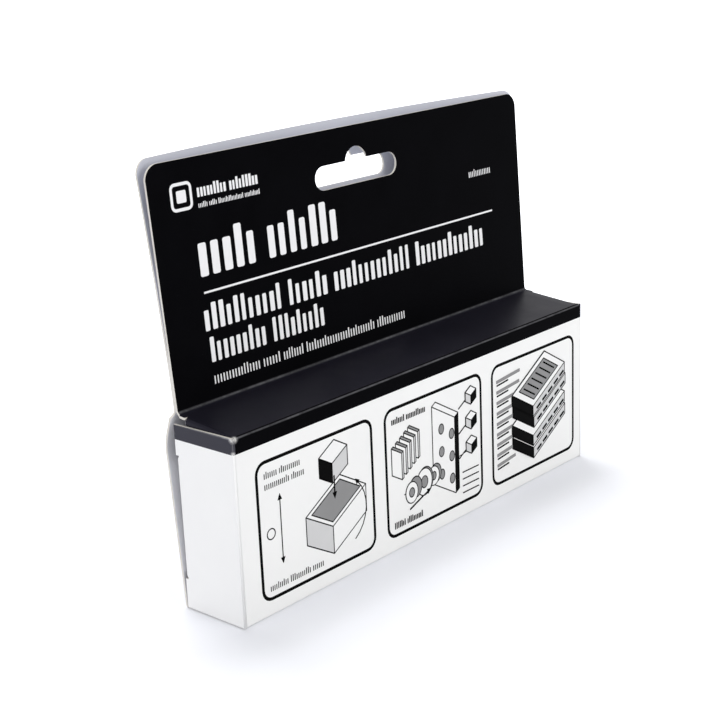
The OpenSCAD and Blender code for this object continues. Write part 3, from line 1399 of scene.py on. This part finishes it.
@dataclass
class Drawing:
    """A simple drawing of things seen from a corner, inside one frame.

    Attributes:
        x: Where its corner point lies across the panel.
        z: Where its corner point lies in height.
        scale: Size of its unit.
        dark: Print that takes black.
        mid: Print that takes the middle grey.
        pale: Print that takes the pale grey.
        paper: Print that takes the board's white, to hide what lies behind.
        rise: How much higher each shape lies than the one before.
    """

    # Cosine and sine of 30 degrees, at which both level axes run
    ACROSS, UP = 0.866, 0.5
    # Height over width of a disc, and its hole and the hole's line as shares of its radius
    SQUASH, HOLE, HOLE_LINE = 1.18, 0.42, 0.46

    x: float
    z: float
    scale: float
    dark: Print
    mid: Print
    pale: Print
    paper: Print
    rise: float = 0.0025 * MM

    def over(self) -> None:
        """Puts the next shapes over the ones that are drawn."""
        level = max(p.level for p in (self.dark, self.mid, self.pale, self.paper)) + self.rise
        for ink in (self.mid, self.pale, self.paper):
            ink.level = level
        self.dark.level = level + self.rise / 2

    def at(self, a: float, b: float, c: float) -> tuple[float, float]:
        """Place on the panel of a point a to the right, b to the left and c up."""
        return (self.x + (a - b) * self.ACROSS * self.scale,
                self.z + ((a + b) * self.UP + c) * self.scale)

    def space(self, spot: Vector) -> tuple[float, float, float]:
        """Point of the drawn space, on its right-hand axis, at a spot on the panel."""
        a = (spot.x - self.x) / (self.ACROSS * self.scale)
        return a, 0.0, (spot.y - self.z) / self.scale - a * self.UP

    def block(self, corner: tuple[float, float, float], size: tuple[float, float, float],
              line: float, tones: tuple[Print, Print, Print]) -> None:
        """Draws a box with its edges.

        Args:
            corner: Its nearest lower corner.
            size: Its size to the right, to the left and upwards.
            line: Width of its edges.
            tones: Prints of its right side, its left side and its top.
        """
        self.over()
        (a, b, c), (u, v, w) = corner, size
        foot, right_foot, left_foot = self.at(a, b, c), self.at(a + u, b, c), self.at(a, b + v, c)
        top, right_top, left_top = (self.at(*p) for p in (
            (a, b, c + w), (a + u, b, c + w), (a, b + v, c + w)))
        back = self.at(a + u, b + v, c + w)
        faces = ([foot, right_foot, right_top, top], [foot, top, left_top, left_foot],
                 [top, right_top, back, left_top])
        for ring, tone in zip(faces, tones):
            tone.fill(ring)
        for ring in faces:
            self.dark.stroke([*ring, ring[0]], line)

    def disc(self, centre: tuple[float, float, float], radius: float, deep: float,
             line: float, tone: Print) -> None:
        """Draws a round part that faces the left, with a hole in it.

        Args:
            centre: Middle of its far face.
            radius: Its radius, in the drawing's unit.
            deep: Its thickness.
            line: Width of its lines.
            tone: Print of its near face.
        """
        self.over()
        x, z = self.at(*centre)
        near = self.at(centre[0] - deep, centre[1], centre[2])
        radius *= self.scale
        self.mid.disc(x, z, radius, self.SQUASH)
        self.dark.hoop(x, z, radius, line, self.SQUASH)
        self.over()
        tone.disc(*near, radius, self.SQUASH)
        self.dark.hoop(*near, radius, line, self.SQUASH)
        self.over()
        self.mid.disc(*near, radius * self.HOLE, self.SQUASH)
        self.dark.hoop(*near, radius * self.HOLE_LINE, line, self.SQUASH)


@dataclass
class PanelPrint:
    """The print on the carton's panels and header, in millimetres.

    Attributes:
        carton: The board that it lies on.
        frames: Left and right side of each frame on the front panel.
        frame_low: Foot of the frames.
        frame_high: Top of the frames.
        frame_line: Width of their line.
        frame_corner: Radius of their corners.
    """

    carton: CartonBoard
    frames: tuple[tuple[float, float], ...] = ((-65.2, -23.5), (-19.0, 22.3), (26.7, 67.6))
    frame_low: float = 4.1
    frame_high: float = 39.9
    frame_line: float = 0.88
    frame_corner: float = 3.3

    def header(self, ink: bpy.types.Material) -> bpy.types.Object:
        """The pale print on the header: a mark, blocks in place of words and a rule.

        Args:
            ink: The pale ink.

        Returns:
            The piece.
        """
        made = Print("header_print", self.carton, self.carton.header_run)
        made.fill(bar_ring(*mm(-57.7, 56.8, 76.2, 76.7, 0.1)))
        made.frame(*mm(-64.6, -57.8, 96.7, 103.4, 1.5, 0.75))
        made.fill(bar_ring(*mm(-62.7, -59.7, 98.6, 101.5, 0.4)))
        made.words(
            (
                BarRow((9.6, 9.8), -56.2, 99.1, 2.9, 3, 0.66),
                BarRow((3.1, 2.6, 8.4, 5.2), -56.2, 96.6, 1.3, 4, 0.5),
                BarRow((20.0, 26.6), -58.0, 80.3, 10.6, 21, 0.62),
                BarRow((27, 15, 31.5, 31.5), -58.5, 67.2, 6.6, 5, 0.57),
                BarRow((19.5, 19.5), -57.7, 59.4, 6.2, 6, 0.57),
                BarRow((16, 6.4, 7.6, 27, 12), -57.6, 54.0, 2.7, 7),
                BarRow((10.4,), 47.1, 87.4, 2.1, 8),
            )
        )
        return made.build(ink)

    def back(self, pale: bpy.types.Material, dark: bpy.types.Material) -> list[bpy.types.Object]:
        """Plain rows of small bars on the back of the header and on the back panel.

        Args:
            pale: White ink of the header.
            dark: Black ink of the panel.

        Returns:
            The pieces.
        """
        above = Print("header_back_print", self.carton, self.carton.layer_run, -1)
        above.fill(bar_ring(*mm(-58, 58, 76.4, 76.9, 0.1)))
        divide(above.mesh, mm(*range(-56, 57, 4)), 0)
        above.words([BarRow((15, 22), -58, 80.0, 5.0, 31, 0.55)])
        for row in range(3):
            lengths, z = (12, 8, 17 - 2 * row, 9, 14), 72.0 - 4.0 * row
            above.words([BarRow(lengths, -58, z, 2.2, 32 + row, 0.46)])
        below = Print("back_panel_print", self.carton, self.carton.back_run, -1)
        for column, x in enumerate((-60, -18, 24)):
            below.words([BarRow((11, 9), x, 31.0, 2.2, 40 + column, 0.55)])
            for row in range(6 - column):
                lengths, z = (7 + (row + column) % 3, 10, 9 - row), 26.6 - 3.3 * row
                below.words([BarRow(lengths, x, z, 1.6, 50 + 10 * column + row)])
        return [above.build(pale), below.build(dark)]

    def panel(self, dark: bpy.types.Material, mid: bpy.types.Material,
              pale: bpy.types.Material, paper: bpy.types.Material) -> list[bpy.types.Object]:
        """The three frames on the front panel, each with its own simple drawing.

        Args:
            dark: Black ink.
            mid: Middle grey ink.
            pale: Pale grey ink.
            paper: White ink.

        Returns:
            The pieces.
        """
        run_of = self.carton.front_run
        frames = Print("panel_frames", self.carton, run_of)
        for x0, x1 in self.frames:
            frames.frame(*mm(x0, x1, self.frame_low, self.frame_high),
                         *mm(self.frame_corner, self.frame_line))
        names = ("panel_drawing", "panel_mid_shade", "panel_pale_shade", "panel_white")
        inks = [Print(name, self.carton, run_of) for name in names]
        self.open_tray(Drawing(*mm(-39.5, 8.2, 1.22), *inks))
        self.drilled_plate(Drawing(*mm(7.5, 8.0, 1.15), *inks))
        self.stack(Drawing(*mm(46.5, 6.6, 1.12), *inks))
        built = [frames.build(dark)]
        return built + [p.build(f) for p, f in zip(inks, (dark, mid, pale, paper))]

    @staticmethod
    def open_tray(on: Drawing) -> None:
        """Draws an open tray with a block over it, arrows and rows in place of captions.

        Args:
            on: Where it is drawn.
        """
        line, thin, head = mm(0.32, 0.32, 1.7)
        on.block((0, 0, 0), (12, 9, 6), line, (on.paper, on.pale, on.paper))
        on.over()
        inner = [on.at(1, 1, 6), on.at(11, 1, 6), on.at(11, 8, 6), on.at(1, 8, 6)]
        on.mid.fill(inner)
        on.dark.stroke([*inner, inner[0]], line)
        on.over()
        on.dark.fill([on.at(1, 1, 6), on.at(1, 8, 6), on.at(2.4, 8, 4.6), on.at(2.4, 2.4, 4.6)])
        on.block((3.2, 2.6, 12.4), (5.4, 4.4, 4.2), line, (on.pale, on.dark, on.paper))
        on.over()
        on.dark.arrow([on.at(5.9, 4.8, 11.4), on.at(5.9, 4.8, 7.6)], *mm(0.5, 1.9))
        turns = [math.radians(-58 + 13 * i) for i in range(9)]
        curve = [mm(-36.5 + 9.6 * math.cos(a), 17.5 + 9.6 * math.sin(a)) for a in turns]
        on.dark.arrow(curve, thin, head)
        on.dark.arrow([mm(-57.5, 20.5), mm(-57.5, 29.0)], thin, head)
        on.dark.arrow([mm(-57.5, 21.5), mm(-57.5, 13.5)], thin, head)
        on.dark.hoop(*mm(-61.0, 21.0, 1.5, 0.3))
        on.dark.words(
            (
                BarRow((4.6, 7.4), -62.3, 35.2, 1.8, 11),
                BarRow((8.6, 4.6), -62.3, 32.4, 1.8, 12),
                BarRow((6.4, 7.4, 4.2), -62.3, 6.4, 1.8, 13),
            )
        )

    @staticmethod
    def drilled_plate(on: Drawing) -> None:
        """Draws a drilled plate with round parts before it on a slanting centre line.

        Args:
            on: Where it is drawn.
        """
        line, dash, rule = mm(0.3, 0.25, 0.28)
        start, stop = Vector(on.at(-12, 7.4, 8.2)), Vector(on.at(9, -3.4, 7.2))
        dashes, dash_share = 11, 0.55
        for i in range(dashes):
            a, b = start.lerp(stop, i / dashes), start.lerp(stop, (i + dash_share) / dashes)
            on.dark.stroke([tuple(a), tuple(b)], dash)
        for k in reversed(range(5)):
            on.block((-6.4 + 1.7 * k, 13.6, 6.2), (0.7, 4.0, 6.4), line,
                     (on.pale, on.paper, on.mid))
        on.block((1.5, -1, 0), (1.6, 9.6, 19), line, (on.dark, on.paper, on.paper))
        hole, ring, oblong = *mm(1.05, 1.2), 1.3
        for k in range(3):
            for side in (1.4, 5.8):
                on.over()
                spot = on.at(1.5, side - 1, 3.4 + 5.6 * k)
                on.mid.disc(*spot, hole, oblong)
                on.dark.hoop(*spot, ring, line, oblong)
        for share, radius, deep in ((0.42, 2.1, 0.9), (0.28, 2.9, 0.5), (0.15, 2.3, 1.7)):
            on.disc(on.space(start.lerp(stop, share)), radius, deep, line, on.paper)
        for k in range(3):
            c = 5.6 + 6.2 * k
            on.over()
            on.dark.stroke([on.at(3.4, -1, c + 1.6), on.at(8, -1, c + 1.6)], line)
            on.block((7.6, -2.2, c), (2.4, 2.4, 2.2), line, (on.dark, on.pale, on.paper))
        on.over()
        for k in range(4):
            z = 7.2 + 2.0 * k
            on.dark.stroke([mm(13.2, z), mm(20.2, z)], rule)
        on.dark.arrow([mm(-9.6, 10.0), mm(-2.0, 12.8)], *mm(0.4, 1.8))
        on.dark.words(
            (
                BarRow((5.4, 8.0), -16.0, 35.2, 1.8, 14),
                BarRow((4.6, 6.6), -16.0, 6.4, 1.8, 15),
            )
        )

    @staticmethod
    def stack(on: Drawing) -> None:
        """Draws shaded slabs in a stack, with a ruled ground behind them.

        Args:
            on: Where it is drawn.
        """
        line, broad, thin, dash, rib = mm(0.34, 0.9, 0.4, 0.8, 0.5)
        for k in range(9):
            z = 10.0 + 3.1 * k
            on.mid.stroke([mm(29.4, z), mm(37.5 + 0.3 * k, z + 0.9)], broad)
            on.dark.stroke([mm(29.4, z - 1.1), mm(34.5, z - 0.6)], thin)
        pitch, tall = 3.9, 2.8
        places = ((0.6, 0.4), (0.0, 0.0), (1.2, 0.8), (0.2, 0.2))
        for k, (a, b) in enumerate(places):
            on.block((a, b, pitch * k), (16.5, 10.5, tall), line, (on.pale, on.dark, on.paper))
            on.over()
            for i in range(5):
                u, z = a + 2 + 3 * i, pitch * k + 0.9
                on.dark.stroke([on.at(u, b, z), on.at(u + 1.8, b, z)], dash)
        on.over()
        (a, b), top = places[-1], pitch * (len(places) - 1) + tall
        inlay = [on.at(a + 2, b + 1.6, top), on.at(a + 14.5, b + 1.6, top),
                 on.at(a + 14.5, b + 9, top), on.at(a + 2, b + 9, top)]
        on.mid.fill(inlay)
        on.dark.stroke([*inlay, inlay[0]], line)
        on.over()
        for i in range(6):
            u = a + 3.4 + 2 * i
            on.dark.stroke([on.at(u, b + 2.6, top), on.at(u, b + 8, top)], rib)


# The scene


@dataclass(frozen=True)
class Lamp:
    """A square soft lamp that looks at the carton.

    Attributes:
        name: Name of the lamp.
        place: Where it hangs.
        size: Length of its side.
        power: Its power in watts.
        colour: Colour of its light.
        aim: The point that it looks at.
    """

    name: str
    place: tuple[float, float, float]
    size: float
    power: float
    colour: tuple[float, float, float]
    aim: tuple[float, float, float] = (0.0, 0.0, 0.05)

    def hang(self) -> None:
        """Adds the lamp to the scene."""
        data = bpy.data.lights.new(self.name, "AREA")
        data.shape, data.size = "SQUARE", self.size
        data.energy, data.color = self.power, self.colour
        lamp = bpy.data.objects.new(self.name, data)
        lamp.location = self.place
        ahead = Vector(self.aim) - Vector(self.place)
        lamp.rotation_euler = ahead.to_track_quat("-Z", "Y").to_euler()
        bpy.context.scene.collection.objects.link(lamp)


@dataclass(frozen=True)
class Studio:
    """Plain pale floor, soft light and the camera.

    Attributes:
        lens: The camera's focal length in millimetres.
        sensor: Width of its sensor in millimetres.
        clip: Nearest and furthest distance that it sees.
        azimuth: Its angle round the carton.
        elevation: Its angle over the floor.
        roll: Its turn about its own line of sight.
        distance: Its distance from the target.
        target: The point in the middle of its view.
        world_light: Strength of the light from all round.
        foot: Half the carton's width and depth, from which the floor's glow is measured.
        floor_half: Half the width of the floor.
        floor_tones: The floor's two tones.
        floor_glow: Colour of the floor's glow.
        floor_clouds: Number of cloudy parts in a metre of the floor.
        floor_rough: The floor's roughness.
        painted_shadow_glow: Distances from the foot over which the glow rises close by, and its
            strengths; the weak glow next to the foot is a painted shadow.
        far_glow: The same for the glow that is added further away.
        lamps: The lamps.
    """

    lens: float = 75.07
    sensor: float = 36.0
    clip: tuple[float, float] = (0.01, 20.0)
    azimuth: float = math.radians(-47.967)
    elevation: float = math.radians(16.785)
    roll: float = math.radians(-2.463)
    distance: float = 0.38713
    target: tuple[float, float, float] = (-0.015466, 0.0, 0.050947)
    world_light: float = 0.5
    foot: tuple[float, float, float] = (0.0715, 0.0103, 0.0)
    floor_half: float = 3.0
    floor_tones: tuple[Colour, Colour] = ((0.79, 0.80, 0.84, 1.0), (0.81, 0.82, 0.86, 1.0))
    floor_glow: Colour = (0.96, 0.97, 1.0, 1.0)
    floor_clouds: float = 9.0
    floor_rough: float = 0.9
    painted_shadow_glow: tuple[tuple[float, float], ...] = ((0.0, 0.06), (0.14, 0.42))
    far_glow: tuple[tuple[float, float], ...] = ((0.08, 0.40), (0.0, 0.8))
    lamps: tuple[Lamp, ...] = (
        Lamp("front", (0.15, -1.30, 0.42), 0.9, 8.0, (1.0, 0.995, 0.985)),
        Lamp("left", (-1.30, 0.0, 0.34), 0.8, 6.6, (0.96, 0.96, 1.0)),
        Lamp("top", (0.22, 0.50, 1.15), 0.55, 7.4, (1.0, 1.0, 1.0)),
    )

    def camera(self) -> None:
        """Sets the camera where the photograph was taken from."""
        a, e = self.azimuth, self.elevation
        back = Vector((math.sin(a) * math.cos(e), -math.cos(a) * math.cos(e), math.sin(e)))
        right = (-back).cross(Vector((0, 0, 1))).normalized()
        up = right.cross(-back)
        tilted = right * math.cos(self.roll) + up * math.sin(self.roll)
        upward = up * math.cos(self.roll) - right * math.sin(self.roll)
        data = bpy.data.cameras.new("camera")
        data.lens, data.sensor_width = self.lens, self.sensor
        data.clip_start, data.clip_end = self.clip
        camera = bpy.data.objects.new("camera", data)
        turned = Matrix((tilted, upward, back)).transposed().to_4x4()
        place = Vector(self.target) + back * self.distance
        camera.matrix_world = Matrix.Translation(place) @ turned
        bpy.context.scene.collection.objects.link(camera)
        bpy.context.scene.camera = camera

    def floor(self) -> None:
        """Lays the pale floor, which shows white where nothing shades it, with a painted shadow of
        weaker glow round the carton's foot.
        """
        mesh = bmesh.new()
        bmesh.ops.create_grid(mesh, x_segments=8, y_segments=8, size=self.floor_half)
        material = bpy.data.materials.new("pale_floor")
        material.use_nodes = True
        nodes = Nodes(material)
        sockets = material.node_tree.nodes["Principled BSDF"].inputs
        clouds = nodes.ranged(nodes.noise(self.floor_clouds), Finish.TONE)
        nodes.feed(sockets["Base Color"], nodes.mixed(clouds, *self.floor_tones))
        sockets["Roughness"].default_value = self.floor_rough
        sockets["Specular IOR Level"].default_value = 0.0
        sockets["Emission Color"].default_value = self.floor_glow
        beside = nodes.vector("SUBTRACT", nodes.vector("ABSOLUTE", nodes.place()), self.foot)
        away = nodes.vector("LENGTH", nodes.vector("MAXIMUM", beside))
        # Weaker glow close to the carton's foot paints a soft shadow round it.
        near = nodes.ranged(away, *self.painted_shadow_glow)
        far = nodes.ranged(away, *self.far_glow)
        glow = nodes.math("MULTIPLY", nodes.seen(), nodes.math("ADD", near, far))
        nodes.feed(sockets["Emission Strength"], glow)
        floor = new_piece("floor", mesh, [material])

    def world(self) -> None:
        """Soft light from all round, and white behind the carton."""
        world = bpy.data.worlds.new("studio")
        bpy.context.scene.world = world
        world.use_nodes = True
        nodes = Nodes(world)
        sockets = world.node_tree.nodes["Background"].inputs
        sockets["Color"].default_value = (1.0, 1.0, 1.0, 1.0)
        strength = nodes.ranged(nodes.seen(), (0.0, 1.0), (self.world_light, 1.0))
        nodes.feed(sockets["Strength"], strength)

    def build(self) -> None:
        """Sets up the camera, floor, world and lamps."""
        self.camera()
        self.floor()
        self.world()
        for lamp in self.lamps:
            lamp.hang()
        bpy.context.scene.view_settings.view_transform = "Standard"


WHITE_BOARD = Finish("white_board", (0.88, 0.88, 0.865, 1.0), (0.86, 0.86, 0.85, 1.0),
                     (0.42, 0.55), 0.3)
BLACK_INK = WornInk(
    "black_print", grey(0.0016, 0.0003), grey(0.0026, 0.0006), (0.36, 0.48), 0.006,
    tint=(0.74, 0.72, 1.0, 1.0),
    creases=(mm(-10.05, 47.75, 0.34), mm(8.75, 50.35, 0.42)),
    knocks=((mm(-70.8, -10.1, 47.9), 1.5 * MM),),
)
# The top panel's black print, lighter and bluer than the header's: a painted sheen of the light it
# catches at a low angle.
TOP_INK_SHEEN = WornInk(
    "top_print_painted_sheen", (0.0085, 0.0080, 0.0130, 1.0), (0.0110, 0.0105, 0.0165, 1.0), (0.34, 0.46), 0.105,
    tint=(0.80, 0.78, 1.0, 1.0),
    creases=BLACK_INK.creases, knocks=BLACK_INK.knocks,
)
# The end flaps' black print, lighter and bluer than the header's: a painted sheen.
FLAP_INK_SHEEN = WornInk(
    "flap_print_painted_sheen", grey(0.014, 0.005), grey(0.019, 0.007), (0.34, 0.46), 0.25,
    wear_and_shade_colour=grey(0.42, 0.012), tint=(0.80, 0.78, 1.0, 1.0),
    uprights=(mm(-71.5, -10.3, 0.30), mm(71.5, -10.3, 0.30)),
    rims=(mm(-71.5, 48.0, 0.50), mm(71.5, 48.0, 0.50)),
    knocks=((mm(-71.4, -10.2, 48.0), 1.5 * MM), (mm(-71.45, -10.25, 44.1), 0.9 * MM)),
)
# The inner board, with painted shade between the header's layers that greys it towards the top.
INNER_BOARD = ShadedInnerBoard("inner_board", (0.89, 0.89, 0.93, 1.0), (0.86, 0.86, 0.90, 1.0),
                        (0.7, 0.8), 0.2, fibre=1.2e-5, grain=2200.0)
RAW_EDGE = Finish("raw_edge", (0.80, 0.78, 0.73, 1.0), (0.64, 0.61, 0.55, 1.0), (0.8, 0.95), 0.15,
                  fibre=2e-5, grain=5000.0)
HEADER_INK = Finish("pale_ink", grey(0.86, 0.005), grey(0.82, 0.008), (0.38, 0.5), 0.3,
                    fibre=4e-6)
DARK_INK = Finish("dark_ink", grey(0.0015), grey(0.003), (0.5, 0.62), 0.015, fibre=4e-6)
MID_INK = Finish("mid_grey_ink", grey(0.22), grey(0.26), (0.45, 0.6), 0.25, fibre=4e-6)
LIGHT_INK = Finish("light_grey_ink", grey(0.58), grey(0.63), (0.45, 0.6), 0.25, fibre=4e-6)
PAPER_INK = Finish("white_ink", (0.875, 0.875, 0.865, 1.0), (0.86, 0.86, 0.85, 1.0),
                   (0.45, 0.6), 0.25, fibre=4e-6)


def main() -> None:
    """Builds the studio and the carton, piece by piece."""
    Studio().build()
    board = [f.make() for f in (WHITE_BOARD, BLACK_INK, INNER_BOARD, RAW_EDGE, TOP_INK_SHEEN)]
    flap_board = [board[Side.WHITE], FLAP_INK_SHEEN.make(), board[Side.INNER], board[Side.EDGE]]

    carton = CartonBoard()
    piece = carton.build(board)
    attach(piece, "carton")
    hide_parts("carton")
    log.info("%s: %d faces", piece.name, len(piece.data.polygons))

    for end in End:
        flap = EndFlap(end, carton)
        body = f"{end.name.lower()}_end_flap"
        piece = flap.build(flap_board)
        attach(piece, body)
        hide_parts(body)
        log.info("%s: %d faces", piece.name, len(piece.data.polygons))
        strip = flap.fold_strip(flap_board)
        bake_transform(strip)
        log.info("%s: %d faces", strip.name, len(strip.data.polygons))

    prints = PanelPrint(carton)
    header_ink = HEADER_INK.make()
    inks = [ink.make() for ink in (DARK_INK, MID_INK, LIGHT_INK, PAPER_INK)]
    pieces = [prints.header(header_ink), *prints.panel(*inks), *prints.back(header_ink, inks[0])]
    for piece in pieces:
        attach(piece, "carton")
        log.info("%s: %d faces", piece.name, len(piece.data.polygons))


if __name__ == "__main__":
    main()
